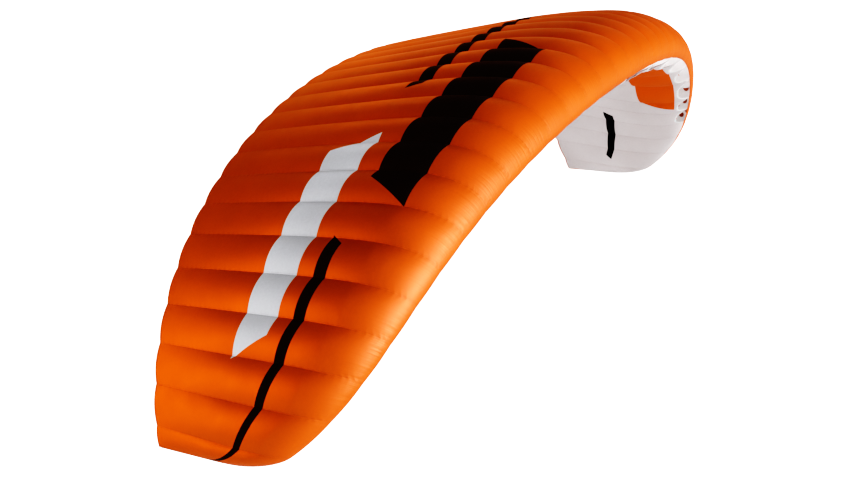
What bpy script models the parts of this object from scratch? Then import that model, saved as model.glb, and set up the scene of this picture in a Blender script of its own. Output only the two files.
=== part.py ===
"""A paraglider wing, inflated and in its flying arch: top cloth, under cloth and ribs.

Metres, +Z up. The span runs along X, the nose faces -Y and the tail faces +Y.
The origin is in the middle of the under cloth, a quarter of the chord behind the nose.

Every section of the wing is one closed curve. Its parameter q runs from -1 at the tail,
forward along the under side, through 0 at the nose, and back along the top to +1 at the tail.
A point q lies at the share q * q of the chord.
"""

import math

import bmesh
import bpy
from mathutils import Vector

# The wing laid flat
HALF_SPAN = 4.45
ROOT_CHORD = 2.43
TIP_CELL_WIDTH = 0.1335
CELLS = 35

# Nose and tail lines in plan: distances aft at the tip, by the power of the span share
NOSE_AFT = {2: 0.98, 4: -0.32, 10: 0.55}
TAIL_AFT = {2: -0.20, 4: -0.18}
TIP_CORNER_RADIUS = 0.32

# The arch: lean of the cloth at the tip, and the share of it that builds up evenly
TIP_LEAN = math.radians(75.0)
EVEN_LEAN_SHARE = 0.53
ARCH_STEPS = 400

# The section: fullness of the top at nose, middle and tail, and of the under side at nose and tail
TOP_FULLNESS = (0.40, 0.195, 0.215)
UNDER_FULLNESS = (0.27, 0.06)
THINNING_TO_TIP = 0.175
TIP_EDGE_SHARE = 0.06

# How the cloth billows between the ribs that hold it, as a share of the distance between them
TOP_BILLOW = 0.105
UNDER_BILLOW = 0.075
WIDEST_BILLOW_CELLS = 2
BILLOW_TAIL_RUN = 0.30
BILLOW_NOSE_RUN = 0.30
TOP_NOSE_BILLOW_SHARE = 0.40
UNDER_NOSE_BILLOW_SHARE = 0.30
TAIL_SCALLOP = 0.016

# The mouths: chord share of the upper lip, and of the lower lip between two ribs
UPPER_LIP = 0.0120
LOWER_LIP_AT_RIB = 0.0130
LOWER_LIP = 0.068
CLOSED_CELLS = 4
SINGLE_CELLS = 6

# The cloth
CLOTH = 0.0012
RIB_CLOTH = 0.0010
GAP = 0.0003
RIB_END = 0.97
FREE_EDGE_SHARE = 0.45
SWEEP_STEP = 0.05

# How finely each piece is faceted
STEPS_PER_CELL = 3
TIP_CELL_STEPS = (0.0, 0.3, 0.62, 0.88, 1.0)
TOP_ROWS = 10
UNDER_ROWS = 5

TOP_CELLS_PER_PIECE = 5
UNDER_PIECE_SEAMS = (0, 4, 8, 12, 16)

CELL_WIDTH = 2 * (HALF_SPAN - TIP_CELL_WIDTH) / (CELLS - 2)
LINE_HOLD_SHARE = 0.25

ORANGE = (0.86, 0.20, 0.01, 1.0)
PALE_GREY = (0.80, 0.79, 0.80, 1.0)
WHITE = (0.88, 0.88, 0.88, 1.0)


def seam_place(seam):
    """Distance along the cloth from the middle, for seams numbered 0 (left tip) to CELLS (right tip)."""
    if seam in (0, CELLS):
        return math.copysign(HALF_SPAN, seam - 1)
    return (seam - CELLS / 2) * CELL_WIDTH


def lean_at(share):
    return TIP_LEAN * (EVEN_LEAN_SHARE * share + (1 - EVEN_LEAN_SHARE) * share**3)


def arch_table():
    """Points (x, z) of the arch at even steps of the half span."""
    x = z = 0.0
    points = [(x, z)]
    for step in range(ARCH_STEPS):
        lean = lean_at((step + 0.5) / ARCH_STEPS)
        x += math.cos(lean) * HALF_SPAN / ARCH_STEPS
        z -= math.sin(lean) * HALF_SPAN / ARCH_STEPS
        points.append((x, z))
    return points


ARCH = arch_table()


def arch_point(place):
    """(x, z, lean) of the arch at a distance along the cloth, which is negative on the left."""
    share = min(abs(place) / HALF_SPAN, 1.0)
    step = min(int(share * ARCH_STEPS), ARCH_STEPS - 1)
    part = share * ARCH_STEPS - step
    (x0, z0), (x1, z1) = ARCH[step], ARCH[step + 1]
    side = math.copysign(1.0, place)
    return side * (x0 + part * (x1 - x0)), z0 + part * (z1 - z0), side * lean_at(share)


def plan_at(place):
    """(nose, chord, thinness) of the section at a distance along the cloth."""
    share = abs(place) / HALF_SPAN
    into_tip = max(0.0, 1 - (HALF_SPAN - abs(place)) / TIP_CELL_WIDTH)
    roundness = math.sqrt(max(0.0, 1 - into_tip**2))
    nose = sum(aft * share**power for power, aft in NOSE_AFT.items())
    tail = ROOT_CHORD + sum(aft * share**power for power, aft in TAIL_AFT.items())
    nose += TIP_CORNER_RADIUS * (1 - roundness)
    thinness = (1 - THINNING_TO_TIP * share**4) * max(roundness, TIP_EDGE_SHARE)
    return nose, tail - nose, thinness


def profile_height(q):
    """Height of the section over its chord line, as a share of the chord."""
    x = q * q
    if q >= 0:
        nose, middle, tail = TOP_FULLNESS
        fullness = nose * (1 - x) ** 2 + 2 * middle * x * (1 - x) + tail * x**2
    else:
        nose, tail = UNDER_FULLNESS
        fullness = nose * (1 - x) + tail * x
    return q * (1 - x) * fullness


def section_point(place, q):
    """(aft, up) of a point of the section, in the plane of its rib."""
    nose, chord, thinness = plan_at(place)
    return nose + chord * q * q, chord * thinness * profile_height(q)


def section_normal(place, q):
    """Outward normal (aft, up) of the section."""
    nudge = 1e-4
    aft0, up0 = section_point(place, max(q - nudge, -1.0))
    aft1, up1 = section_point(place, min(q + nudge, 1.0))
    length = math.hypot(aft1 - aft0, up1 - up0)
    return -(up1 - up0) / length, (aft1 - aft0) / length


def to_world(place, aft, up, along=0.0):
    """World point of (aft, up) in the rib plane at this place, moved along the span."""
    x, z, lean = arch_point(place)
    return Vector((
        x + up * math.sin(lean) + along * math.cos(lean),
        aft,
        z + up * math.cos(lean) - along * math.sin(lean),
    ))


def cloth_place(place, q, outward, scallop=0.0):
    """(aft, up) of the section, moved outward along its normal, with the tail's scallop added."""
    aft, up = section_point(place, q)
    normal_aft, normal_up = section_normal(place, q)
    return aft + outward * normal_aft + scallop * q**6, up + outward * normal_up


def arc(part):
    """0 at both ends of a cell or panel and 1 in its middle."""
    return 4 * part * (1 - part)


def billow_share(q):
    """How much of the full billow the cloth has at q."""
    near_tail = min(1.0, (1 - abs(q)) / BILLOW_TAIL_RUN)
    nose_share = TOP_NOSE_BILLOW_SHARE if q > 0 else UNDER_NOSE_BILLOW_SHARE
    off_nose = min(1.0, abs(q) / BILLOW_NOSE_RUN)
    return near_tail * (nose_share + (1 - nose_share) * off_nose)


def cell_stations(seam):
    """(place, part of the cell) from this seam up to the next, without the next."""
    start, end = seam_place(seam), seam_place(seam + 1)
    if seam == 0:
        parts = [1 - part for part in reversed(TIP_CELL_STEPS[1:])]
    elif seam == CELLS - 1:
        parts = TIP_CELL_STEPS[:-1]
    else:
        parts = [step / STEPS_PER_CELL for step in range(STEPS_PER_CELL)]
    return [(start + part * (end - start), part) for part in parts]


def stations_between(first, last):
    """(place, part of the cell) along a piece that runs from seam first to seam last."""
    found = [station for seam in range(first, last) for station in cell_stations(seam)]
    return found + [(seam_place(last), 0.0)]


def under_panels():
    """Seams of the under cloth: each cell near the tips, then each second one."""
    left = list(range(SINGLE_CELLS)) + list(range(SINGLE_CELLS, CELLS // 2, 2))
    return left + [CELLS - seam for seam in reversed(left)]


UNDER_SEAMS = under_panels()


def under_billow(part, width):
    """How far the under cloth stands off its section at this part of a panel."""
    return UNDER_BILLOW * min(width, WIDEST_BILLOW_CELLS * CELL_WIDTH) * arc(part)


MIDDLE_BILLOW = GAP / 2 + CLOTH + under_billow(0.5, 3 * CELL_WIDTH)
ORIGIN = to_world(0.0, *cloth_place(0.0, -math.sqrt(LINE_HOLD_SHARE), MIDDLE_BILLOW))


def cloth_point(place, q, outward, scallop, along):
    return to_world(place, *cloth_place(place, q, outward, scallop), along) - ORIGIN


def panel_part(place):
    """(part of the under panel, its width, whether its front is open) at a place."""
    for first, last in zip(UNDER_SEAMS, UNDER_SEAMS[1:]):
        start, end = seam_place(first), seam_place(last)
        if place <= end + 1e-9:
            is_open = first >= CLOSED_CELLS and last <= CELLS - CLOSED_CELLS
            return (place - start) / (end - start), end - start, is_open
    raise ValueError(place)


def lower_lip_q(place):
    """Parameter of the under cloth's front edge: scooped between the ribs of an open panel."""
    part, _, is_open = panel_part(place)
    scoop = 1 - abs(2 * part - 1) ** 3 if is_open else 0.0
    return -math.sqrt(LOWER_LIP_AT_RIB + (LOWER_LIP - LOWER_LIP_AT_RIB) * scoop)


def sheet_mesh(name, outer, inner):
    """A closed sheet from two grids of points, with the same diagonals on both faces."""
    rows, columns = len(outer), len(outer[0])
    mesh = bmesh.new()
    grids = [[[mesh.verts.new(point) for point in row] for row in grid] for grid in (outer, inner)]
    for grid, faces_out in zip(grids, (True, False)):
        for i in range(rows - 1):
            for j in range(columns - 1):
                a, b, c, d = grid[i][j], grid[i + 1][j], grid[i + 1][j + 1], grid[i][j + 1]
                for corners in ((a, b, c), (a, c, d)):
                    mesh.faces.new(corners if faces_out else corners[::-1])
    rim = [(i, 0) for i in range(rows - 1)]
    rim += [(rows - 1, j) for j in range(columns - 1)]
    rim += [(i, columns - 1) for i in range(rows - 1, 0, -1)]
    rim += [(0, j) for j in range(columns - 1, 0, -1)]
    for (i0, j0), (i1, j1) in zip(rim, rim[1:] + rim[:1]):
        a, b = grids[0][i0][j0], grids[0][i1][j1]
        c, d = grids[1][i1][j1], grids[1][i0][j0]
        mesh.faces.new((b, a, d))
        mesh.faces.new((b, d, c))
    bmesh.ops.recalc_face_normals(mesh, faces=mesh.faces)
    return finished_object(name, mesh)


def plate_mesh(name, place, outline):
    """A flat plate in the rib plane at this place, from its outline in (aft, up)."""
    mesh = bmesh.new()
    half = RIB_CLOTH / 2
    sides = []
    for along in (-half, half):
        points = [to_world(place, aft, up, along) - ORIGIN for aft, up in outline]
        sides.append([mesh.verts.new(point) for point in points])
    mesh.faces.new(sides[0])
    mesh.faces.new(sides[1][::-1])
    for i in range(len(outline)):
        j = (i + 1) % len(outline)
        mesh.faces.new((sides[0][i], sides[0][j], sides[1][j], sides[1][i]))
    bmesh.ops.recalc_face_normals(mesh, faces=mesh.faces)
    return finished_object(name, mesh)


def finished_object(name, mesh):
    data = bpy.data.meshes.new(name)
    mesh.to_mesh(data)
    mesh.free()
    obj = bpy.data.objects.new(name, data)
    bpy.context.scene.collection.objects.link(obj)
    return obj


def give_material(obj, colour, roughness):
    material = bpy.data.materials.new(obj.name + "_cloth")
    material.use_nodes = True
    shader = material.node_tree.nodes["Principled BSDF"]
    shader.inputs["Base Color"].default_value = colour
    shader.inputs["Roughness"].default_value = roughness
    shader.inputs["Metallic"].default_value = 0.0
    obj.data.materials.append(material)


def end_shift(index, count):
    """Moves the two ends of a piece in from their seams, so that neighbours stay apart."""
    if index == 0:
        return GAP / 2
    if index == count - 1:
        return -GAP / 2
    return 0.0


def top_qs():
    """Parameters of the top cloth's rows, from the tail over the nose to the upper lip."""
    rows = [1 - row / (TOP_ROWS - 1) for row in range(TOP_ROWS)]
    return rows + [-math.sqrt(UPPER_LIP)]


def under_qs(place):
    """Parameters of the under cloth's rows, from the lower lip to the tail."""
    front = lower_lip_q(place)
    return [front + (-1 - front) * row / UNDER_ROWS for row in range(UNDER_ROWS + 1)]


def top_cloth(name, first, last):
    outer, inner = [], []
    stations = stations_between(first, last)
    for index, (place, part) in enumerate(stations):
        width = CELL_WIDTH if abs(place) < HALF_SPAN - TIP_CELL_WIDTH else TIP_CELL_WIDTH
        shift = end_shift(index, len(stations))
        scallop = TAIL_SCALLOP * arc(part) * width / CELL_WIDTH
        for grid, lift in ((outer, GAP / 2 + CLOTH), (inner, GAP / 2)):
            grid.append([
                cloth_point(place, q, lift + TOP_BILLOW * width * arc(part) * billow_share(q), scallop, shift)
                for q in top_qs()
            ])
    obj = sheet_mesh(name, outer, inner)
    give_material(obj, ORANGE, 0.5)


def under_cloth(name, first, last):
    outer, inner = [], []
    stations = stations_between(first, last)
    for index, (place, part) in enumerate(stations):
        cell_width = CELL_WIDTH if abs(place) < HALF_SPAN - TIP_CELL_WIDTH else TIP_CELL_WIDTH
        panel, width, _ = panel_part(place)
        shift = end_shift(index, len(stations))
        scallop = TAIL_SCALLOP * arc(part) * cell_width / CELL_WIDTH
        for grid, lift in ((outer, GAP / 2 + CLOTH), (inner, GAP / 2)):
            grid.append([
                cloth_point(place, q, lift + under_billow(panel, width) * billow_share(q), scallop, shift)
                for q in under_qs(place)
            ])
    obj = sheet_mesh(name, outer, inner)
    give_material(obj, PALE_GREY, 0.6)


def rib_inset(place):
    """How far a rib's edge lies inside the section: more where the nose sweeps back across the plate."""
    beside = place + math.copysign(SWEEP_STEP, place)
    sweep = (plan_at(beside)[0] - plan_at(place)[0]) / SWEEP_STEP
    return GAP / 2 + sweep * RIB_CLOTH / 2


def inset_point(place, q):
    """(aft, up) just inside the cloth at q."""
    aft, up = section_point(place, q)
    normal_aft, normal_up = section_normal(place, q)
    inset = rib_inset(place)
    return aft - inset * normal_aft, up - inset * normal_up


def cut_at(place, tail_point, next_point):
    """The point where the straight edge between two rows reaches the rib's end."""
    nose, chord, _ = plan_at(place)
    part = (nose + RIB_END * chord - next_point[0]) / (tail_point[0] - next_point[0])
    return tuple(b + part * (a - b) for a, b in zip(tail_point, next_point))


def rib(name, seam):
    """A rib plate. Under a seam that only the top cloth has, its lower edge runs free inside the cell."""
    place = seam_place(seam)
    is_full = seam in UNDER_SEAMS
    top = [inset_point(place, q) for q in top_qs()]
    if is_full:
        under = [inset_point(place, q) for q in under_qs(place)[1:]]
    else:
        rows = [(-math.sqrt(UPPER_LIP) * (1 - r / UNDER_ROWS) - r / UNDER_ROWS) for r in range(1, UNDER_ROWS + 1)]
        under = [(aft, up * FREE_EDGE_SHARE) for aft, up in (section_point(place, q) for q in rows)]
    top[0] = cut_at(place, top[0], top[1])
    under[-1] = cut_at(place, under[-1], under[-2])
    obj = plate_mesh(name, place, top + under)
    give_material(obj, WHITE, 0.6)


def build():
    for obj in list(bpy.data.objects):
        bpy.data.objects.remove(obj)
    for index, first in enumerate(range(0, CELLS, TOP_CELLS_PER_PIECE)):
        top_cloth(f"top_cloth_{index + 1}", first, first + TOP_CELLS_PER_PIECE)
    ends = list(UNDER_PIECE_SEAMS) + [CELLS - seam for seam in reversed(UNDER_PIECE_SEAMS)]
    for index, (first, last) in enumerate(zip(ends, ends[1:])):
        under_cloth(f"under_cloth_{index + 1}", first, last)
    for seam in range(1, CELLS):
        kind = "rib" if seam in UNDER_SEAMS else "free_rib"
        rib(f"{kind}_{seam:02d}", seam)


build()
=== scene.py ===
"""The looks of the paraglider wing: billowed cloth, ribs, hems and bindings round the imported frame.

The wing's section, arch and billow are worked out here with the same formulas as in part.py, so that
each detailed piece lies where its CAD node is. Every piece is one closed sheet of cloth.

A point of a section has the parameter q, from -1 at the tail, forward along the under side, through 0
at the nose, and back along the top to +1 at the tail. It lies at the share q * q of the chord.
"""

import math

import bmesh
import bpy
import numpy as np
from mathutils import Matrix, Vector
from mathutils.geometry import tessellate_polygon


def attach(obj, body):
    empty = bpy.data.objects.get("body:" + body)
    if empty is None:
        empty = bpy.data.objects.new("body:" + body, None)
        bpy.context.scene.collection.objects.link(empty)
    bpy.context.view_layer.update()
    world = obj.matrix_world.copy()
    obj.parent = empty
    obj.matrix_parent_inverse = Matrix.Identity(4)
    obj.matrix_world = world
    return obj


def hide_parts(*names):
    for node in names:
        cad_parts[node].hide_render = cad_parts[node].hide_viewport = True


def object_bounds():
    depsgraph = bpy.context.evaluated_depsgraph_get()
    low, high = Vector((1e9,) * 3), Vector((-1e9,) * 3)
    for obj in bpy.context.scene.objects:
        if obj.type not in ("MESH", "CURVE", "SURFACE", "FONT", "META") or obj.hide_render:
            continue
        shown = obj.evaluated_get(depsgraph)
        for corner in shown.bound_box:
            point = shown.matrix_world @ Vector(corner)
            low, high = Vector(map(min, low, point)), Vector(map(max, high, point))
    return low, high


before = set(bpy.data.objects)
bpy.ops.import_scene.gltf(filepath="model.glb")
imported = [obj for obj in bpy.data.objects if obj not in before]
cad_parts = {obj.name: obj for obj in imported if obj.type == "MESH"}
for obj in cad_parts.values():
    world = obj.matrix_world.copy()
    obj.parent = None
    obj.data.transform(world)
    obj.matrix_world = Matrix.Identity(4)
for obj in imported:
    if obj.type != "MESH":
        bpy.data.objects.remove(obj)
CAD_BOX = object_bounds()

# The wing laid flat, in metres, as in part.py
HALF_SPAN = 4.45
ROOT_CHORD = 2.43
TIP_CELL_WIDTH = 0.1335
CELLS = 35
CELL_WIDTH = 2 * (HALF_SPAN - TIP_CELL_WIDTH) / (CELLS - 2)
NOSE_AFT = {2: 0.98, 4: -0.32, 10: 0.55}
TAIL_AFT = {2: -0.20, 4: -0.18}
TIP_CORNER_RADIUS = 0.32

# The arch and the section, as in part.py
TIP_LEAN = math.radians(75.0)
EVEN_LEAN_SHARE = 0.53
ARCH_STEPS = 400
TOP_FULLNESS = (0.40, 0.195, 0.215)
UNDER_FULLNESS = (0.27, 0.06)
THINNING_TO_TIP = 0.175
TIP_EDGE_SHARE = 0.06

# The billow of the cloth between the ribs: fuller on top than in part.py, and flatter at the nose
TOP_BILLOW = 0.120
UNDER_BILLOW = 0.075
WIDEST_BILLOW_CELLS = 2
BILLOW_TAIL_RUN = 0.30
BILLOW_NOSE_RUN = 0.42
NOSE_BILLOW_SHARE = 0.05
TOP_NOSE_POWER = 2
TAIL_SCALLOP = 0.016
SCALLOP_POWER = 6

# The mouths and the panels, in chord shares and counts of cells, as in part.py
UPPER_LIP = 0.0120
LOWER_LIP_AT_RIB = 0.0130
LOWER_LIP = 0.068
SCOOP_POWER = 3
CLOSED_CELLS = 4
SINGLE_CELLS = 6
MIDDLE_PANEL_CELLS = 3

# The cloth and the ribs, as in part.py
CLOTH = 0.0012
RIB_CLOTH = 0.0010
GAP = 0.0003
RIB_END = 0.97
FREE_EDGE_SHARE = 0.45
FREE_EDGE_RUN = 0.2
SWEEP_STEP = 0.05
LINE_HOLD_SHARE = 0.25

# How the cloth is split into pieces, as in part.py
TOP_CELLS_PER_PIECE = 5
TOP_PIECES = CELLS // TOP_CELLS_PER_PIECE
UNDER_PIECE_SEAMS = (0, 4, 8, 12, 16)

# How finely the cloth is meshed here, and how near counts as on a seam
HALF_CELL_PARTS = (0.0, 0.02, 0.06, 0.12, 0.20, 0.29, 0.39, 0.50)
TIP_CELL_STEPS = 12
TOP_ROWS = 96
UNDER_ROWS = 60
RIB_ROWS = 44
CLOSE = 1e-9

# Tapes and hems: their thickness, the gap under them, how far they reach in from the edge and past it,
# and, of the binding round a tip, distances in from the tip and its (first, last) q
TAPE = 0.0006
TAPE_GAP = 0.0002
TAPE_ROW_WIDTH = 0.004
BINDING_SHARE = 0.009
HEM_RUN = 0.012
UPPER_HEM_PAST = 0.004
LOWER_HEM_PAST = 0.003
HEM_INNER_PART = 0.5
HEM_END_GAPS = 12
TIP_BINDING_STEPS = (0.0090, 0.0055, 0.0025, 0.0008, 0.0)
TIP_BINDING_COLUMNS = 120
TIP_BINDING_ENDS = (0.03, 0.985)

# Crossports: (chord share, share of the height there, half length and half height as shares, tilt)
PORTS = (
    (0.040, 0.64, 0.20, 0.13, 1.10),
    (0.085, 0.42, 0.19, 0.10, 0.75),
    (0.165, 0.50, 0.16, 0.24, 0.0),
    (0.255, 0.50, 0.18, 0.25, 0.0),
    (0.350, 0.50, 0.18, 0.26, 0.0),
    (0.455, 0.50, 0.22, 0.26, 0.0),
    (0.570, 0.50, 0.28, 0.26, 0.0),
    (0.690, 0.50, 0.38, 0.25, 0.0),
    (0.800, 0.50, 0.46, 0.22, 0.0),
)
PORT_STEPS = 28

# The bake map, from 0 to 1 both ways, and the (lowest, highest) of the rim's strip in it
MAP_MARGIN = 0.01
MAP_SIDE_WIDTH = 0.475
MAP_SIDE_HEIGHT = 0.955
MAP_INNER_START = 0.515
MAP_RIM = (0.980, 0.992)

# Base colours, linear
ORANGE = (0.63, 0.103, 0.0006, 1.0)
BLACK = (0.0006, 0.0006, 0.0008, 1.0)
WHITE = (0.76, 0.785, 0.83, 1.0)
PALE_GREY = (0.64, 0.590, 0.590, 1.0)
RIB_WHITE = (0.86, 0.86, 0.86, 1.0)

# Bars: (start, end) along the span from the middle, (front, back) as chord shares, slant of the ends
TOP_BARS = (
    (BLACK, (0.95, 2.75, 0.17, 0.34, -1.1)),
    (WHITE, (2.15, 3.65, 0.42, 0.57, 1.1)),
    (BLACK, (3.05, 4.60, 0.30, 0.35, -1.1)),
    (BLACK, (-0.10, 1.55, 0.44, 0.49, 1.1)),
)
# Under cloth shares count down from 0 at the nose
UNDER_BARS = (
    (ORANGE, (-0.10, 3.00, -0.27, -0.085, 0.9)),
    (BLACK, (3.35, 4.15, -0.52, -0.46, 0.9)),
)
BAR_ROUGHNESS = 0.92
# A bar's edge fades over this width, and its front and back are measured as if on this chord
BAR_EDGE = 0.0025
BAR_CHORD = 2.0

# Uneven looks of the cloth: (noise scale, noise detail, lowest value, highest value). The wrinkles are
# heights in metres, and the drift of the puckers is a turn in radians
BROAD_TONE = (1.7, 3.0, 0.84, 1.12)
FINE_TONE = (60.0, 4.0, 0.93, 1.07)
ROUGHNESS_SPREAD = (8.0, 4.0, BAR_ROUGHNESS - 0.06, BAR_ROUGHNESS + 0.06)
BROAD_WRINKLES = (5.0, 3.0, -0.0012, 0.0012)
PUCKER_DRIFT = (9.0, 2.0, 0.0, 5.0)

# Ripstop: pitch and width of its thicker threads, and the tone and height of the squares between them
THREAD_PITCH = 0.0060
THREAD_WIDTH = 0.0016
THREAD_TONE = 1.02
SQUARE_TONE = 0.93
SQUARE_RISE = 0.00006

# Stitches: their row's distance from the seam, half width, pitch, their part of it, tone and height
STITCH_OFF = 0.006
STITCH_HALF_WIDTH = 0.0007
STITCH_PITCH = 0.005
STITCH_PART = 0.7
STITCH_TONE = 0.72
STITCH_RISE = 0.0003

# Puckers beside the seams: pitch, height, and how far they reach
PUCKER_PITCH = 0.045
PUCKER_RISE = 0.0006
PUCKER_REACH = 0.016

# Fine streaks round the nose, drawn out along the chord: their noise, and the chord share they fade over
STREAK_SCALE = 60.0
STREAK_DETAIL = 1.0
STREAK_SCALING = (1.0, 0.06, 1.0)
STREAK_REACH = 0.05

# The nylon's own sheen and gloss
SHEEN = 0.01
SHEEN_ROUGHNESS = 0.4
NYLON_IOR = 1.5

# The camera, at the photograph's viewing angle
CAMERA_PLACE = (-8.4605, -3.1979, 1.7262)
CAMERA_AZIMUTH = math.radians(61.66)
CAMERA_ELEVATION = math.radians(-18.57)
CAMERA_ROLL = math.radians(-2.39)
CAMERA_LENS = 46.73
CAMERA_SENSOR = 36.0
CAMERA_REACH = 400.0

UP = Vector((0.0, 0.0, 1.0))

# The floor, and its brightness and the backdrop's: to the camera, and as light
FLOOR_SIZE = 150.0
FLOOR_DROP = 1.6
FLOOR_GREY = 0.40
BACKDROP_SEEN = 1.8
FLOOR_LIGHT = 0.03
ROOM_LIGHT = 0.05
SOFTBOX_ANGLE = 25.0

# The film: the level that shows as full white, and points (level, shown) of its response
WHITE_LEVEL = 1.6
RESPONSE = (
    (0.03, 0.008),
    (0.07, 0.06),
    (0.11, 0.13),
    (0.17, 0.25),
    (0.28, 0.45),
    (0.41, 0.65),
    (0.63, 0.85),
    (0.81, 0.95),
)


# ---------------------------------------------------------------- shape of the wing

def seam_place(seam):
    """Distance along the cloth from the middle, of seams 0 (left tip) to CELLS (right tip)."""
    if seam in (0, CELLS):
        return math.copysign(HALF_SPAN, seam - 1)
    return (seam - CELLS / 2) * CELL_WIDTH


def lean_at(share):
    return TIP_LEAN * (EVEN_LEAN_SHARE * share + (1 - EVEN_LEAN_SHARE) * share**3)


def arch_table():
    """Arrays x and z of the arch at even steps of the half span."""
    lean = lean_at((np.arange(ARCH_STEPS) + 0.5) / ARCH_STEPS)
    step = HALF_SPAN / ARCH_STEPS
    x = np.concatenate([[0.0], np.cumsum(np.cos(lean)) * step])
    z = np.concatenate([[0.0], -np.cumsum(np.sin(lean)) * step])
    return x, z


ARCH_X, ARCH_Z = arch_table()
ARCH_AT = np.linspace(0.0, 1.0, ARCH_STEPS + 1)


def arch_point(place):
    """(x, z, lean) of the arch at distances along the cloth, which are negative on the left."""
    share = np.minimum(np.abs(place) / HALF_SPAN, 1.0)
    side = np.where(np.asarray(place) < 0, -1.0, 1.0)
    x = np.interp(share, ARCH_AT, ARCH_X)
    z = np.interp(share, ARCH_AT, ARCH_Z)
    return side * x, z, side * lean_at(share)


def plan_at(place):
    """(nose, chord, thinness) of the section at distances along the cloth."""
    share = np.abs(place) / HALF_SPAN
    into_tip = np.maximum(0.0, 1 - (HALF_SPAN - np.abs(place)) / TIP_CELL_WIDTH)
    roundness = np.sqrt(np.maximum(0.0, 1 - into_tip**2))
    nose = sum(aft * share**power for power, aft in NOSE_AFT.items())
    tail = ROOT_CHORD + sum(aft * share**power for power, aft in TAIL_AFT.items())
    nose = nose + TIP_CORNER_RADIUS * (1 - roundness)
    thinness = (1 - THINNING_TO_TIP * share**4) * np.maximum(roundness, TIP_EDGE_SHARE)
    return nose, tail - nose, thinness


def profile_height(q):
    """Height of the section over its chord line, as a share of the chord."""
    x = q * q
    nose, middle, tail = TOP_FULLNESS
    top = nose * (1 - x) ** 2 + 2 * middle * x * (1 - x) + tail * x**2
    under_nose, under_tail = UNDER_FULLNESS
    under = under_nose * (1 - x) + under_tail * x
    return q * (1 - x) * np.where(q >= 0, top, under)


def section_point(place, q):
    """(aft, up) of points of the section, in the plane of their rib."""
    nose, chord, thinness = plan_at(place)
    return nose + chord * q * q, chord * thinness * profile_height(q)


def section_normal(place, q):
    """Outward normal (aft, up) of the section."""
    nudge = 1e-4
    aft0, up0 = section_point(place, np.maximum(q - nudge, -1.0))
    aft1, up1 = section_point(place, np.minimum(q + nudge, 1.0))
    length = np.hypot(aft1 - aft0, up1 - up0)
    return -(up1 - up0) / length, (aft1 - aft0) / length


def to_world(place, aft, up, along=0.0):
    """World points of (aft, up) in the rib plane at these places, moved along the span."""
    x, z, lean = arch_point(place)
    across = x + up * np.sin(lean) + along * np.cos(lean)
    height = z + up * np.cos(lean) - along * np.sin(lean)
    across, aft, height = np.broadcast_arrays(across, aft, height)
    return np.stack([across, aft, height], axis=-1)


def cloth_place(place, q, outward, scallop=0.0):
    """(aft, up) of the section, moved outward along its normal, with the tail's scallop added."""
    aft, up = section_point(place, q)
    normal_aft, normal_up = section_normal(place, q)
    return aft + outward * normal_aft + scallop * q**SCALLOP_POWER, up + outward * normal_up


def arc(part):
    """0 at both ends of a cell or panel and 1 in its middle."""
    return 4 * part * (1 - part)


def billow_share(q, nose_power=1):
    """How much of the full billow the cloth has at q. A higher power keeps the nose flat for longer."""
    near_tail = np.minimum(1.0, (1 - np.abs(q)) / BILLOW_TAIL_RUN)
    off_nose = np.minimum(1.0, np.abs(q) / BILLOW_NOSE_RUN) ** nose_power
    return near_tail * (NOSE_BILLOW_SHARE + (1 - NOSE_BILLOW_SHARE) * off_nose)


def under_panels():
    """Seams of the under cloth: each cell near the tips, then each second one."""
    left = list(range(SINGLE_CELLS)) + list(range(SINGLE_CELLS, CELLS // 2, 2))
    return left + [CELLS - seam for seam in reversed(left)]


UNDER_SEAMS = under_panels()
UNDER_PLACES = np.array([seam_place(seam) for seam in UNDER_SEAMS])


def under_billow(part, width):
    """How far the under cloth stands off its section at this part of a panel."""
    return UNDER_BILLOW * np.minimum(width, WIDEST_BILLOW_CELLS * CELL_WIDTH) * arc(part)


MIDDLE_BILLOW = GAP / 2 + CLOTH + under_billow(0.5, MIDDLE_PANEL_CELLS * CELL_WIDTH)
ORIGIN = to_world(0.0, *cloth_place(0.0, -math.sqrt(LINE_HOLD_SHARE), MIDDLE_BILLOW))


def cloth_point(place, q, outward, scallop=0.0, along=0.0):
    aft, up = cloth_place(place, q, outward, scallop)
    return to_world(place, aft, up, along) - ORIGIN


def panel_at(place):
    """(part of the under panel, its width, whether its front is open) at these places."""
    index = np.clip(np.searchsorted(UNDER_PLACES, place - CLOSE) - 1, 0, len(UNDER_PLACES) - 2)
    start, end = UNDER_PLACES[index], UNDER_PLACES[index + 1]
    seams = np.array(UNDER_SEAMS)
    is_open = (seams[index] >= CLOSED_CELLS) & (seams[index + 1] <= CELLS - CLOSED_CELLS)
    return (place - start) / (end - start), end - start, is_open


def lower_lip_q(place):
    """Parameter of the under cloth's front edge: scooped between the ribs of an open panel."""
    part, _, is_open = panel_at(place)
    scoop = np.where(is_open, 1 - np.abs(2 * part - 1) ** SCOOP_POWER, 0.0)
    return -np.sqrt(LOWER_LIP_AT_RIB + (LOWER_LIP - LOWER_LIP_AT_RIB) * scoop)


def cell_width_at(place):
    return np.where(np.abs(place) < HALF_SPAN - TIP_CELL_WIDTH - CLOSE, CELL_WIDTH, TIP_CELL_WIDTH)


# ---------------------------------------------------------------- meshes

def cell_parts(seam):
    """Parts of the cell from this seam up to the next, without the next: finer near both seams."""
    if seam == 0:
        return 1 - np.sin(np.linspace(math.pi / 2, 0, TIP_CELL_STEPS + 1))[:-1]
    if seam == CELLS - 1:
        return np.sin(np.linspace(0, math.pi / 2, TIP_CELL_STEPS + 1))[:-1]
    half = np.array(HALF_CELL_PARTS)
    return np.concatenate([half, 1 - half[-2:0:-1]])


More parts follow.
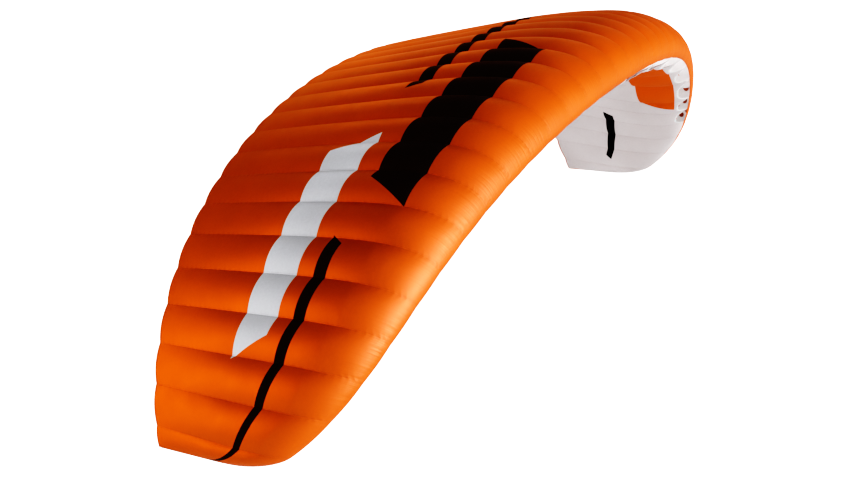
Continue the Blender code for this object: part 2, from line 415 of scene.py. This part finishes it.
def columns_between(first, last):
    """(places, parts of the cell, whether on a seam) of a piece's columns."""
    places, parts, on_seam = [], [], []
    for seam in range(first, last):
        start, end = seam_place(seam), seam_place(seam + 1)
        for part in cell_parts(seam):
            places.append(start + part * (end - start))
            parts.append(part)
            on_seam.append(part < CLOSE)
    places.append(seam_place(last))
    parts.append(0.0)
    on_seam.append(True)
    return np.array(places), np.array(parts), np.array(on_seam)


def end_shifts(count):
    """Moves the two end columns in from their seams, so that neighbours stay apart."""
    shifts = np.zeros((count, 1))
    shifts[0], shifts[-1] = GAP / 2, -GAP / 2
    return shifts


def link(mesh):
    obj = bpy.data.objects.new(mesh.name, mesh)
    bpy.context.scene.collection.objects.link(obj)
    return obj


def mesh_of(name, points, faces):
    """A mesh of quads or triangles from arrays."""
    mesh = bpy.data.meshes.new(name)
    mesh.from_pydata(points.reshape(-1, 3).tolist(), [], [list(face) for face in faces])
    mesh.update()
    return mesh


def add_field(mesh, name, values):
    """A number at each vertex, which the materials read."""
    field = mesh.attributes.new(name, "FLOAT", "POINT")
    field.data.foreach_set("value", np.asarray(values, np.float32).ravel())


def border(columns, rows):
    """The grid's rim, once round, as (column, row) pairs."""
    rim = [(i, 0) for i in range(columns - 1)]
    rim += [(columns - 1, j) for j in range(rows - 1)]
    rim += [(i, rows - 1) for i in range(columns - 1, 0, -1)]
    rim += [(0, j) for j in range(rows - 1, 0, -1)]
    return rim


def shell(name, outer, inner, fields, sharp_columns=()):
    """One closed sheet of cloth from its outer and inner grids, with crisp seams and a bake map."""
    columns, rows = outer.shape[:2]
    count = columns * rows
    index = np.arange(count).reshape(columns, rows)
    grid_corners = (index[:-1, :-1], index[1:, :-1], index[1:, 1:], index[:-1, 1:])
    quads = np.stack(grid_corners, axis=-1).reshape(-1, 4)
    rim = np.array([index[pair] for pair in border(columns, rows)])
    after = np.roll(rim, -1)
    edge_quads = np.stack([after, rim, rim + count, after + count], axis=-1)
    middle = quads[len(quads) // 2]
    flat = outer.reshape(-1, 3)
    facing = np.cross(flat[middle[1]] - flat[middle[0]], flat[middle[3]] - flat[middle[0]])
    out = (outer - inner).reshape(-1, 3)[middle[0]]
    faces = np.concatenate([quads, quads[:, ::-1] + count, edge_quads])
    if facing @ out < 0:
        faces = faces[:, ::-1]
    mesh = mesh_of(name, np.concatenate([flat, inner.reshape(-1, 3)]), faces)
    for field, values in fields.items():
        values = np.broadcast_to(values, (columns, rows)).ravel()
        add_field(mesh, field, np.concatenate([values, values]))
    mesh.polygons.foreach_set("use_smooth", np.ones(len(mesh.polygons), bool))
    mark_sharp(mesh, columns, rows, sharp_columns)
    bake_map(mesh, columns, rows, len(quads))
    return link(mesh)


def mark_sharp(mesh, columns, rows, sharp_columns):
    """Marks the sheet's rim and its seams as sharp edges."""
    count = columns * rows
    ends = np.zeros(2 * len(mesh.edges), np.int32)
    mesh.edges.foreach_get("vertices", ends)
    ends = ends.reshape(-1, 2)
    side, place = ends // count, ends % count
    column, row = place // rows, place % rows
    same_side = side[:, 0] == side[:, 1]
    same_column, same_row = column[:, 0] == column[:, 1], row[:, 0] == row[:, 1]
    seam_at = np.zeros(columns, bool)
    seam_at[list(sharp_columns)] = True
    seam_at[[0, -1]] = True
    along_end = same_row & ((row[:, 0] == 0) | (row[:, 0] == rows - 1))
    sharp = ~same_side | (same_column & seam_at[column[:, 0]]) | along_end
    field = mesh.attributes.new("sharp_edge", "BOOLEAN", "EDGE")
    field.data.foreach_set("value", sharp)


def bake_map(mesh, columns, rows, per_side):
    """A map with the outer side in its left half, the inner in its right half, and the rim above."""
    across = np.linspace(0.0, 1.0, columns)[:, None] * np.ones((1, rows))
    down = np.ones((columns, 1)) * np.linspace(0.0, 1.0, rows)[None, :]
    u = np.concatenate([
        MAP_MARGIN + MAP_SIDE_WIDTH * across.ravel(),
        MAP_INNER_START + MAP_SIDE_WIDTH * across.ravel(),
    ])
    v = np.tile(MAP_MARGIN + MAP_SIDE_HEIGHT * down.ravel(), 2)
    corners = np.zeros(len(mesh.loops), np.int32)
    mesh.loops.foreach_get("vertex_index", corners)
    uv = np.stack([u[corners], v[corners]], axis=-1)
    rim_faces = len(mesh.polygons) - 2 * per_side
    steps = np.arange(rim_faces) / rim_faces
    ends = steps + 1 / rim_faces
    low, high = MAP_RIM
    rim = np.zeros((rim_faces, 4, 2))
    rim[:, :, 0] = MAP_MARGIN + (1 - 2 * MAP_MARGIN) * np.stack([steps, steps, ends, ends], axis=-1)
    rim[:, :, 1] = (low, high, high, low)
    uv[-4 * rim_faces:] = rim.reshape(-1, 2)
    layer = mesh.uv_layers.new(name="OFBake")
    layer.uv.foreach_set("vector", uv.astype(np.float32).ravel())


def run_along(points):
    """Distance along each column of a grid, in metres."""
    steps = np.linalg.norm(np.diff(points, axis=1), axis=2)
    return np.concatenate([np.zeros((len(points), 1)), np.cumsum(steps, axis=1)], axis=1)


# ---------------------------------------------------------------- materials

def put(tree, socket, value):
    """Gives a socket a value, or a link from another node's socket."""
    if isinstance(value, bpy.types.NodeSocket):
        tree.links.new(value, socket)
    else:
        socket.default_value = value


def maths(tree, operation, *values, clamp=False):
    node = tree.nodes.new("ShaderNodeMath")
    node.operation = operation
    node.use_clamp = clamp
    for socket, value in zip(node.inputs, values):
        put(tree, socket, value)
    return node.outputs[0]


def field_of(tree, name):
    node = tree.nodes.new("ShaderNodeAttribute")
    node.attribute_name = name
    return node.outputs["Fac"]


def blend_colour(tree, part, first, second):
    node = tree.nodes.new("ShaderNodeMix")
    node.data_type = "RGBA"
    put(tree, node.inputs["Factor"], part)
    put(tree, node.inputs["A"], first)
    put(tree, node.inputs["B"], second)
    return node.outputs["Result"]


def noise(tree, scale, detail, scaling=(1.0, 1.0, 1.0), vector=None):
    """Noise over the object's own space, or a vector, drawn out along an axis with a small scaling."""
    if vector is None:
        coordinates = tree.nodes.new("ShaderNodeTexCoord")
        vector = coordinates.outputs["Object"]
    mapping = tree.nodes.new("ShaderNodeMapping")
    put(tree, mapping.inputs["Vector"], vector)
    mapping.inputs["Scale"].default_value = scaling
    node = tree.nodes.new("ShaderNodeTexNoise")
    put(tree, node.inputs["Vector"], mapping.outputs["Vector"])
    node.inputs["Scale"].default_value = scale
    node.inputs["Detail"].default_value = detail
    return node.outputs["Fac"]


def spread_to(tree, value, low, high):
    """Turns 0..1 into low..high."""
    return maths(tree, "MULTIPLY_ADD", value, high - low, low)


def uneven(tree, look):
    """A value that wanders over the piece: look is one of the rows of uneven looks."""
    scale, detail, low, high = look
    return spread_to(tree, noise(tree, scale, detail), low, high)


def ripstop_squares(tree, across, along):
    """1 in the squares of ripstop cloth, falling to 0 on the thicker threads between them."""
    sharpness = THREAD_PITCH / THREAD_WIDTH
    squares = []
    for value in (across, along):
        turns = maths(tree, "DIVIDE", value, THREAD_PITCH)
        off = maths(tree, "ABSOLUTE", maths(tree, "SUBTRACT", maths(tree, "FRACT", turns), 0.5))
        squares.append(maths(tree, "MULTIPLY_ADD", off, -2 * sharpness, sharpness, clamp=True))
    return maths(tree, "MINIMUM", *squares)


def bar_mask(tree, span, share, bar):
    """How far inside a bar a point lies, in metres, and negative outside. A bar's ends are slanted."""
    start, end, front, back, slant = bar
    slide = maths(tree, "MULTIPLY_ADD", share, slant, -slant * front)
    reach = maths(tree, "SUBTRACT", span, slide)
    sides = [
        maths(tree, "SUBTRACT", reach, start),
        maths(tree, "SUBTRACT", end, reach),
        maths(tree, "MULTIPLY_ADD", share, BAR_CHORD, -BAR_CHORD * front),
        maths(tree, "MULTIPLY_ADD", share, -BAR_CHORD, BAR_CHORD * back),
    ]
    inside = sides[0]
    for side in sides[1:]:
        inside = maths(tree, "MINIMUM", inside, side)
    return inside


def cloth_colour(tree, base, bars):
    """(the colour with its bars, and 1 off the bars and 0 on them)."""
    colour, bare = base, 1.0
    if bars:
        span = maths(tree, "ABSOLUTE", field_of(tree, "place"))
        share = field_of(tree, "share")
        for bar_colour, bar in bars:
            inside = bar_mask(tree, span, share, bar)
            mask = maths(tree, "MULTIPLY_ADD", inside, 1 / BAR_EDGE, 0.5, clamp=True)
            colour = blend_colour(tree, mask, colour, bar_colour)
            bare = maths(tree, "MULTIPLY", maths(tree, "SUBTRACT", 1.0, mask), bare)
    return colour, bare


def shaded(tree, colour, shade):
    """The colour made lighter or darker by a factor."""
    scaled = tree.nodes.new("ShaderNodeVectorMath")
    scaled.operation = "SCALE"
    put(tree, scaled.inputs[0], colour if isinstance(colour, bpy.types.NodeSocket) else colour[:3])
    put(tree, scaled.inputs["Scale"], shade)
    return scaled.outputs[0]


def stitches(tree, seam_off, along):
    """1 on the stitches of a row that runs beside each seam."""
    beside = maths(tree, "ABSOLUTE", maths(tree, "SUBTRACT", seam_off, STITCH_OFF))
    row = maths(tree, "LESS_THAN", beside, STITCH_HALF_WIDTH)
    turns = maths(tree, "FRACT", maths(tree, "DIVIDE", along, STITCH_PITCH))
    return maths(tree, "MULTIPLY", row, maths(tree, "LESS_THAN", turns, STITCH_PART))


def wrinkle_height(tree, seam_off, along, nose_streaks):
    """Height in metres of faint wrinkles: puckers beside the seams and streaks round the nose."""
    broad = uneven(tree, BROAD_WRINKLES)
    drift = uneven(tree, PUCKER_DRIFT)
    wave = maths(tree, "SINE", maths(tree, "MULTIPLY_ADD", along, 2 * math.pi / PUCKER_PITCH, drift))
    fade = maths(tree, "EXPONENT", maths(tree, "MULTIPLY", seam_off, -1 / PUCKER_REACH))
    pucker = maths(tree, "MULTIPLY", maths(tree, "MULTIPLY", wave, fade), PUCKER_RISE)
    height = maths(tree, "ADD", broad, pucker)
    if nose_streaks:
        share = maths(tree, "ABSOLUTE", field_of(tree, "share"))
        near = maths(tree, "EXPONENT", maths(tree, "MULTIPLY", share, -1 / STREAK_REACH))
        on_cloth = tree.nodes.new("ShaderNodeCombineXYZ")
        put(tree, on_cloth.inputs["X"], field_of(tree, "weave_across"))
        put(tree, on_cloth.inputs["Y"], along)
        streak = noise(tree, STREAK_SCALE, STREAK_DETAIL, STREAK_SCALING, on_cloth.outputs["Vector"])
        streak = maths(tree, "MULTIPLY", maths(tree, "SUBTRACT", streak, 0.5), nose_streaks)
        height = maths(tree, "MULTIPLY_ADD", near, streak, height)
    return height


def let_light_through(tree, shader, colour, part):
    """Mixes in the part of the light that comes out on the cloth's other side."""
    thin = tree.nodes.new("ShaderNodeBsdfTranslucent")
    put(tree, thin.inputs["Color"], colour)
    both = tree.nodes.new("ShaderNodeMixShader")
    both.inputs[0].default_value = part
    put(tree, both.inputs[1], shader.outputs["BSDF"])
    put(tree, both.inputs[2], thin.outputs["BSDF"])
    put(tree, tree.nodes["Material Output"].inputs["Surface"], both.outputs[0])


def cloth_material(name, base, bars=(), gloss=0.62, roughness=0.5, satin=0.0, nose_streaks=0.0,
                   let_through=0.0):
    """Ripstop nylon: a square thread grid, sewn seams, faint wrinkles and bars of other colours.

    Satin is how much of the gleam takes the base colour, as on a closely woven bright cloth, and the
    bars have none. Nose_streaks is the height of fine streaks round the nose, in metres. Let_through
    is the part of the light that comes out on the cloth's other side.
    """
    material = bpy.data.materials.new(name)
    material.use_nodes = True
    tree = material.node_tree
    shader = tree.nodes["Principled BSDF"]
    across, along = field_of(tree, "weave_across"), field_of(tree, "weave_along")
    seam_off = field_of(tree, "seam_off")
    squares = ripstop_squares(tree, across, along)
    stitch = stitches(tree, seam_off, along)

    colour, bare = cloth_colour(tree, base, bars)
    tone = maths(tree, "MULTIPLY", uneven(tree, BROAD_TONE), uneven(tree, FINE_TONE))
    weave_tone = spread_to(tree, squares, THREAD_TONE, SQUARE_TONE)
    stitch_tone = spread_to(tree, stitch, 1.0, STITCH_TONE)
    shade = maths(tree, "MULTIPLY", tone, maths(tree, "MULTIPLY", weave_tone, stitch_tone))
    colour = shaded(tree, colour, shade)
    put(tree, shader.inputs["Base Color"], colour)

    rough = uneven(tree, ROUGHNESS_SPREAD)
    rough = maths(tree, "MULTIPLY_ADD", bare, roughness - BAR_ROUGHNESS, rough)
    put(tree, shader.inputs["Roughness"], rough)
    if bars and satin:
        satin = maths(tree, "MULTIPLY", bare, satin)
    put(tree, shader.inputs["Metallic"], satin)
    shader.inputs["Sheen Weight"].default_value = SHEEN
    shader.inputs["Sheen Roughness"].default_value = SHEEN_ROUGHNESS
    shader.inputs["Specular IOR Level"].default_value = gloss
    shader.inputs["IOR"].default_value = NYLON_IOR

    height = wrinkle_height(tree, seam_off, along, nose_streaks)
    height = maths(tree, "MULTIPLY_ADD", squares, SQUARE_RISE, height)
    height = maths(tree, "MULTIPLY_ADD", stitch, STITCH_RISE, height)
    bump = tree.nodes.new("ShaderNodeBump")
    bump.inputs["Distance"].default_value = 1.0
    bump.inputs["Strength"].default_value = 1.0
    put(tree, bump.inputs["Height"], height)
    put(tree, shader.inputs["Normal"], bump.outputs["Normal"])
    if let_through:
        let_light_through(tree, shader, colour, let_through)
    return material


# ---------------------------------------------------------------- pieces

def rib_name(seam):
    kind = "rib" if seam in UNDER_SEAMS else "free_rib"
    return f"{kind}_{seam:02d}"


def finish_sheet(obj, node, material):
    """Everything the frame needs to know about one sheet of cloth."""
    obj.data.materials.append(material)
    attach(obj, "root")
    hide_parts(node)


def top_gores(index, material):
    """The gores over five cells of the top, from the tail over the nose to the upper lip."""
    first = index * TOP_CELLS_PER_PIECE
    last = first + TOP_CELLS_PER_PIECE
    places, parts, on_seam = columns_between(first, last)
    place, part = places[:, None], parts[:, None]
    q = np.linspace(1.0, -math.sqrt(UPPER_LIP), TOP_ROWS + 1)[None, :]
    width = cell_width_at(place)
    rise = TOP_BILLOW * width * arc(part) * billow_share(q, TOP_NOSE_POWER)
    scallop = TAIL_SCALLOP * arc(part) * width / CELL_WIDTH
    shift = end_shifts(len(places))
    outer = cloth_point(place, q, GAP / 2 + CLOTH + rise, scallop, shift)
    inner = cloth_point(place, q, GAP / 2 + rise, scallop, shift)
    fields = {
        "place": place,
        "share": q * np.abs(q),
        "weave_across": place,
        "weave_along": run_along(outer),
        "seam_off": np.minimum(part, 1 - part) * width,
    }
    obj = shell(f"top_gores_{index + 1}", outer, inner, fields, np.flatnonzero(on_seam))
    node = f"top_cloth_{index + 1}"
    finish_sheet(obj, node, material)


def under_panels_piece(index, first, last, material):
    """The under cloth's panels between two seams, from their front edges to the tail."""
    places, parts, _ = columns_between(first, last)
    place, part = places[:, None], parts[:, None]
    front = lower_lip_q(place)
    steps = np.linspace(0.0, 1.0, UNDER_ROWS + 1)[None, :]
    q = front + (-1 - front) * steps
    panel, panel_width, _ = panel_at(place)
    rise = under_billow(panel, panel_width) * billow_share(q)
    scallop = TAIL_SCALLOP * arc(part) * cell_width_at(place) / CELL_WIDTH
    shift = end_shifts(len(places))
    outer = cloth_point(place, q, GAP / 2 + CLOTH + rise, scallop, shift)
    inner = cloth_point(place, q, GAP / 2 + rise, scallop, shift)
    fields = {
        "place": place,
        "share": -q * q,
        "weave_across": place,
        "weave_along": run_along(outer),
        "seam_off": np.minimum(panel, 1 - panel) * panel_width,
    }
    at_seam = np.minimum(panel, 1 - panel)[:, 0] < CLOSE
    obj = shell(f"under_panels_{index + 1}", outer, inner, fields, np.flatnonzero(at_seam))
    node = f"under_cloth_{index + 1}"
    finish_sheet(obj, node, material)


def strip(name, outer, inner, material):
    """A narrow tape from its outer and inner grids: columns along it and a few rows across it.

    Its stitches run right across it.
    """
    fields = {
        "weave_across": np.arange(outer.shape[1])[None, :] * TAPE_ROW_WIDTH,
        "weave_along": run_along(outer.swapaxes(0, 1)).T,
        "seam_off": STITCH_OFF,
    }
    obj = shell(name, outer, inner, fields)
    obj.data.materials.append(material)
    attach(obj, "root")
    return obj


def row_points(place, rows, shift=0.0):
    """A grid with a row for each (q, outward, scallop, aft) and a column for each place."""
    points = []
    for q, outward, scallop, aft in rows:
        at, up = cloth_place(place, q, outward, scallop)
        points.append(to_world(place, at + aft, up, shift) - ORIGIN)
    return np.stack(points, axis=1)


def tail_binding(first, last, index, material):
    """The tape folded round the tail, over the edges of both cloths."""
    places, parts, _ = columns_between(first, last)
    scallop = TAIL_SCALLOP * arc(parts) * cell_width_at(places) / CELL_WIDTH
    shift = end_shifts(len(places))[:, 0]
    q = math.sqrt(1 - BINDING_SHARE)
    near = GAP / 2 + CLOTH + TAPE_GAP
    grids = []
    for thick in (TAPE, 0.0):
        over = near + thick
        grids.append(row_points(places, (
            (q, over, scallop, 0.0),
            (1.0, over, scallop, 0.0),
            (1.0, 0.0, scallop, over),
            (-1.0, over, scallop, 0.0),
            (-q, over, scallop, 0.0),
        ), shift))
    return strip(f"tail_binding_{index + 1}", grids[0], grids[1], material)


def lip_hem(name, first, last, is_upper, material):
    """The folded hem along the front edge of the top cloth or of the under cloth."""
    places, parts, _ = columns_between(first, last)
    if is_upper:
        edge = np.full(len(places), -math.sqrt(UPPER_LIP))
        rise = TOP_BILLOW * cell_width_at(places) * arc(parts)
        into, beyond, power = edge + HEM_RUN, edge - UPPER_HEM_PAST, TOP_NOSE_POWER
    else:
        edge = lower_lip_q(places)
        panel, panel_width, _ = panel_at(places)
        rise = under_billow(panel, panel_width)
        into, beyond, power = edge - HEM_RUN, edge + LOWER_HEM_PAST, 1
    shift = HEM_END_GAPS * end_shifts(len(places))[:, 0]
    grids = []
    for thick in (TAPE, 0.0):
        over = GAP / 2 + CLOTH + TAPE_GAP + thick
        past = edge + (beyond - edge) * (1.0 if thick else HEM_INNER_PART)
        grids.append(row_points(places, (
            (into, over + rise * billow_share(into, power), 0.0, 0.0),
            (edge, over + rise * billow_share(edge, power), 0.0, 0.0),
            (past, GAP / 2 + CLOTH / 2 + rise * billow_share(edge, power), 0.0, 0.0),
        ), shift))
    return strip(name, grids[0], grids[1], material)


def tip_binding(name, side, material):
    """The tape that closes the wing's tip, round the edges of both cloths."""
    q = np.linspace(*TIP_BINDING_ENDS, TIP_BINDING_COLUMNS)
    near = GAP / 2 + CLOTH + TAPE_GAP
    grids = []
    for thick in (TAPE, 0.0):
        rows = []
        for sign, steps in ((1, TIP_BINDING_STEPS), (-1, TIP_BINDING_STEPS[::-1])):
            for step in steps:
                place = np.full(len(q), side * (HALF_SPAN - step))
                rows.append(cloth_point(place, sign * q, near + thick))
            if sign == 1:
                place = np.full(len(q), side * HALF_SPAN)
                rows.append(cloth_point(place, q, 0.0, 0.0, side * (near + thick)))
        grids.append(np.stack(rows, axis=1))
    return strip(name, grids[0], grids[1], material)


def rib_inset(place):
    """How far a rib's edge lies inside the section: more where the nose sweeps back."""
    beside = place + math.copysign(SWEEP_STEP, place)
    sweep = (plan_at(beside)[0] - plan_at(place)[0]) / SWEEP_STEP
    return GAP / 2 + sweep * RIB_CLOTH / 2


def sewn_edge(place, q):
    """(aft, up) along an edge of a rib that the cloth is sewn to, just inside the section."""
    aft, up = section_point(place, q)
    normal_aft, normal_up = section_normal(place, q)
    inset = rib_inset(place)
    return np.stack([aft - inset * normal_aft, up - inset * normal_up], axis=-1)


def free_edge(place, q):
    """(aft, up) along the under edge of a free rib, which rises clear of the under cloth."""
    aft, up = section_point(place, q)
    off_lip = (q[0] - q) / (1 + q[0])
    share = np.maximum(FREE_EDGE_SHARE, 1 - (1 - FREE_EDGE_SHARE) * off_lip / FREE_EDGE_RUN)
    return np.stack([aft, up * share], axis=-1)


def rib_edges(place, is_full):
    """(top edge from the tail to the upper lip, under edge from there to the tail), as (aft, up)."""
    end, lip = math.sqrt(RIB_END), -math.sqrt(UPPER_LIP)
    top = sewn_edge(place, np.linspace(end, lip, RIB_ROWS + 1))
    under_q = np.linspace(lip, -end, RIB_ROWS + 1)
    under = sewn_edge(place, under_q) if is_full else free_edge(place, under_q)
    return top, under[1:]


def port_outlines(place, top, under):
    """Outlines of the rib's crossports, as rows of (aft, up)."""
    nose, chord, _ = plan_at(place)
    found = []
    for share, level, half_length, half_height, tilt in PORTS:
        aft = nose + share * chord
        upper = np.interp(aft, top[::-1, 0], top[::-1, 1])
        lower = np.interp(aft, under[:, 0], under[:, 1])
        height = upper - lower
        turn = np.linspace(0, 2 * math.pi, PORT_STEPS, endpoint=False)
        along, upward = half_length * height * np.cos(turn), half_height * height * np.sin(turn)
        found.append(np.stack([
            aft + along * math.cos(tilt) - upward * math.sin(tilt),
            lower + level * height + along * math.sin(tilt) + upward * math.cos(tilt),
        ], axis=-1))
    return found


def rib(seam, material):
    """A rib: flat cloth with oval crossports cut in it."""
    place = seam_place(seam)
    is_full = seam in UNDER_SEAMS
    top, under = rib_edges(place, is_full)
    outline = np.concatenate([top, under])
    loops = [outline] + port_outlines(place, top, under)
    flat = np.concatenate(loops)
    triangles = np.array(tessellate_polygon([[Vector((a, u, 0.0)) for a, u in loop] for loop in loops]))
    count = len(flat)
    sides = [
        to_world(place, flat[:, 0], flat[:, 1], along) - ORIGIN
        for along in (-RIB_CLOTH / 2, RIB_CLOTH / 2)
    ]
    faces = [tuple(face) for face in triangles] + [tuple(face[::-1] + count) for face in triangles]
    start = 0
    for loop in loops:
        ring = start + np.arange(len(loop))
        after = np.roll(ring, -1)
        faces += [tuple(face) for face in np.stack([ring, after, after + count, ring + count], axis=-1)]
        start += len(loop)
    mesh = mesh_of(f"rib_cloth_{seam:02d}", np.concatenate(sides), faces)
    face_out(mesh)
    both = np.concatenate([flat, flat])
    far_from_seams = np.ones(len(both))
    add_field(mesh, "weave_across", both[:, 0])
    add_field(mesh, "weave_along", both[:, 1] - both[:, 1].min())
    add_field(mesh, "seam_off", far_from_seams)
    obj = link(mesh)
    finish_sheet(obj, rib_name(seam), material)
    return obj


def face_out(mesh):
    """Turns every face of a closed mesh to point out."""
    work = bmesh.new()
    work.from_mesh(mesh)
    bmesh.ops.recalc_face_normals(work, faces=work.faces)
    work.to_mesh(mesh)
    work.free()


# ---------------------------------------------------------------- studio

def make_camera():
    forward = Vector((
        math.cos(CAMERA_ELEVATION) * math.sin(CAMERA_AZIMUTH),
        math.cos(CAMERA_ELEVATION) * math.cos(CAMERA_AZIMUTH),
        math.sin(CAMERA_ELEVATION),
    ))
    level = forward.cross(UP).normalized()
    upright = level.cross(forward)
    right = level * math.cos(CAMERA_ROLL) + upright * math.sin(CAMERA_ROLL)
    up = right.cross(forward)
    camera = bpy.data.objects.new("camera", bpy.data.cameras.new("camera"))
    turn = Matrix((right, up, -forward)).transposed().to_4x4()
    camera.matrix_world = Matrix.Translation(CAMERA_PLACE) @ turn
    camera.data.lens = CAMERA_LENS
    camera.data.sensor_width = CAMERA_SENSOR
    camera.data.clip_end = CAMERA_REACH
    bpy.context.scene.collection.objects.link(camera)
    bpy.context.scene.camera = camera


def seen_or_lit(tree, seen, lit):
    """A value that is one thing to the camera and another to the things it lights."""
    ray = tree.nodes.new("ShaderNodeLightPath")
    return spread_to(tree, ray.outputs["Is Camera Ray"], lit, seen)


def make_floor():
    """A pale floor well below the wing, which hangs in the air. The low lights shine up through it."""
    height = CAD_BOX[0].z - FLOOR_DROP
    corners = np.array([
        (x * FLOOR_SIZE, y * FLOOR_SIZE, height)
        for x, y in ((-1, -1), (1, -1), (1, 1), (-1, 1))
    ])
    floor = link(mesh_of("floor", corners, [(0, 1, 2, 3)]))
    material = bpy.data.materials.new("floor_white")
    material.use_nodes = True
    tree = material.node_tree
    shader = tree.nodes["Principled BSDF"]
    shader.inputs["Base Color"].default_value = (FLOOR_GREY, FLOOR_GREY, FLOOR_GREY, 1.0)
    shader.inputs["Roughness"].default_value = 0.9
    shader.inputs["Specular IOR Level"].default_value = 0.0
    shader.inputs["Emission Color"].default_value = (1.0, 1.0, 1.0, 1.0)
    put(tree, shader.inputs["Emission Strength"], seen_or_lit(tree, BACKDROP_SEEN, FLOOR_LIGHT))
    floor.data.materials.append(material)
    floor.visible_shadow = False


def make_surroundings():
    """A dim even light all round, behind a white backdrop."""
    world = bpy.data.worlds.new("studio")
    world.use_nodes = True
    tree = world.node_tree
    background = tree.nodes["Background"]
    background.inputs["Color"].default_value = (1.0, 1.0, 1.0, 1.0)
    put(tree, background.inputs["Strength"], seen_or_lit(tree, BACKDROP_SEEN, ROOM_LIGHT))
    bpy.context.scene.world = world


def make_light(name, azimuth, elevation, strength, gleams=False, only=None, gleam_only=False,
               colour=(1.0, 1.0, 1.0)):
    """A large far softbox, at an azimuth (0 behind the wing, 90 to its right) and elevation from it.

    Only a light that gleams shows in the cloth's gloss, and one that is gleam_only shows nowhere else.
    One that is for only some pieces, inside the wing, reaches them through the cloth, unshadowed.
    """
    light = bpy.data.lights.new(name, "SUN")
    light.angle = math.radians(SOFTBOX_ANGLE)
    light.energy = strength * math.pi
    light.color = colour
    obj = bpy.data.objects.new(name, light)
    turn, rise = math.radians(azimuth), math.radians(elevation)
    towards = Vector((math.cos(rise) * math.sin(turn), math.cos(rise) * math.cos(turn), math.sin(rise)))
    obj.rotation_euler = towards.to_track_quat("Z", "Y").to_euler()
    obj.visible_glossy = gleams or gleam_only
    obj.visible_diffuse = not gleam_only
    if only:
        pieces = bpy.data.collections.new(name + "_pieces")
        for piece in only:
            pieces.objects.link(piece)
        obj.light_linking.receiver_collection = pieces
        light.use_shadow = False
    bpy.context.scene.collection.objects.link(obj)


def set_view():
    """A plain film response: deep shadows and soft highlights."""
    view = bpy.context.scene.view_settings
    view.view_transform = "Standard"
    view.look = "None"
    view.use_curve_mapping = True
    mapping = view.curve_mapping
    mapping.white_level = (WHITE_LEVEL,) * 3
    curve = mapping.curves[3]
    for level, shown in RESPONSE:
        curve.points.new(level, shown)
    mapping.update()


make_camera()
make_floor()
make_surroundings()
# Each light has its azimuth, elevation and strength. The coloured ones show only as gleams in the cloth
make_light("front_low", 180.0, -5.0, 2.26, gleams=True)
make_light("back_gleam", -35.0, 10.0, 1.05, gleam_only=True, colour=(1.0, 0.42, 0.03))
make_light("nose_gleam", -163.0, 14.0, 0.9, gleam_only=True, colour=(1.0, 0.50, 0.55))
make_light("right_gleam", 55.0, 12.0, 0.16, gleam_only=True, colour=(1.0, 0.30, 0.02))
make_light("right_back", 60.0, 25.0, 1.40)
make_light("back_low", -15.0, -15.0, 1.96)
make_light("front_left", -135.0, 35.0, 0.55)
set_view()

TOP_CLOTH = cloth_material(
    "top_ripstop", ORANGE, TOP_BARS, roughness=0.57, satin=0.24, nose_streaks=0.0030, let_through=0.10,
)
UNDER_CLOTH = cloth_material(
    "under_ripstop", PALE_GREY, UNDER_BARS, gloss=0.2, roughness=0.6, let_through=0.25,
)
RIB_RIPSTOP = cloth_material("rib_ripstop", RIB_WHITE, gloss=0.3, roughness=0.6, let_through=0.40)
TAPE_ORANGE = cloth_material("tape_orange", ORANGE, roughness=0.57, satin=0.24)
TAPE_PALE = cloth_material("tape_pale", RIB_WHITE, gloss=0.3, roughness=0.6)

for index in range(TOP_PIECES):
    first = index * TOP_CELLS_PER_PIECE
    last = first + TOP_CELLS_PER_PIECE
    trim = [tail_binding(first, last, index, TAPE_ORANGE)]
    if index == 0:
        trim.append(tip_binding("tip_binding_left", -1, TAPE_ORANGE))
    if index == TOP_PIECES - 1:
        trim.append(tip_binding("tip_binding_right", 1, TAPE_ORANGE))
    lip_first, lip_last = max(first, CLOSED_CELLS), min(last, CELLS - CLOSED_CELLS)
    trim.append(lip_hem(f"upper_lip_hem_{index + 1}", lip_first, lip_last, True, TAPE_ORANGE))
    top_gores(index, TOP_CLOTH)

UNDER_ENDS = list(UNDER_PIECE_SEAMS) + [CELLS - seam for seam in reversed(UNDER_PIECE_SEAMS)]
for index, (first, last) in enumerate(zip(UNDER_ENDS, UNDER_ENDS[1:])):
    trim = []
    if first >= CLOSED_CELLS and last <= CELLS - CLOSED_CELLS:
        trim.append(lip_hem(f"lower_lip_hem_{index + 1}", first, last, False, TAPE_PALE))
    under_panels_piece(index, first, last, UNDER_CLOTH)

RIBS = [rib(seam, RIB_RIPSTOP) for seam in range(1, CELLS)]
# The daylight that comes through the cloth on to the ribs
make_light("inside_left", -125.0, -10.0, 1.05, only=RIBS)
make_light("inside_below", -105.0, -38.0, 0.45, only=RIBS)
